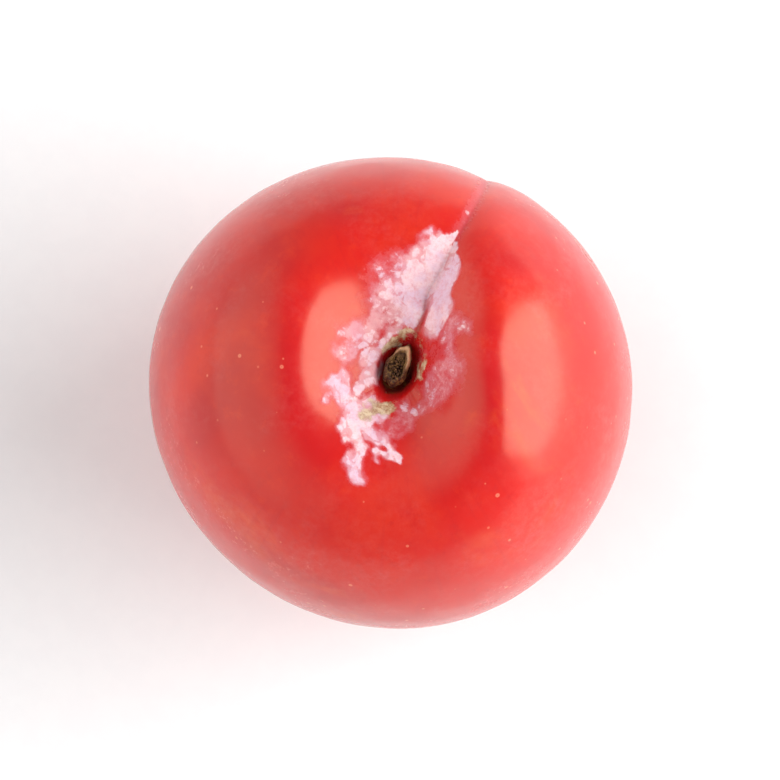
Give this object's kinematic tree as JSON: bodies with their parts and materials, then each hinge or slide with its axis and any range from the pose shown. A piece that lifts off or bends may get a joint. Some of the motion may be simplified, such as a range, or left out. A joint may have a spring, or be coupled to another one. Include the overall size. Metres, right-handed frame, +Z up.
{
  "type": "plum",
  "caption": "Ripe round red plum without its stalk, with a stem cavity, a suture seam down one side and a small flat spot to rest on.",
  "frame": {"origin": "centre of the base, on the flat spot that the plum rests on", "axes": "+Z up through the stem cavity, +Y towards the suture, +X across it from cheek to cheek"},
  "size_m": [0.05, 0.0486, 0.047],
  "materials": {
    "plum_skin": "satin"
  },
  "bodies": {
    "root": {"plum": "plum_skin"}
  },
  "joints": []
}
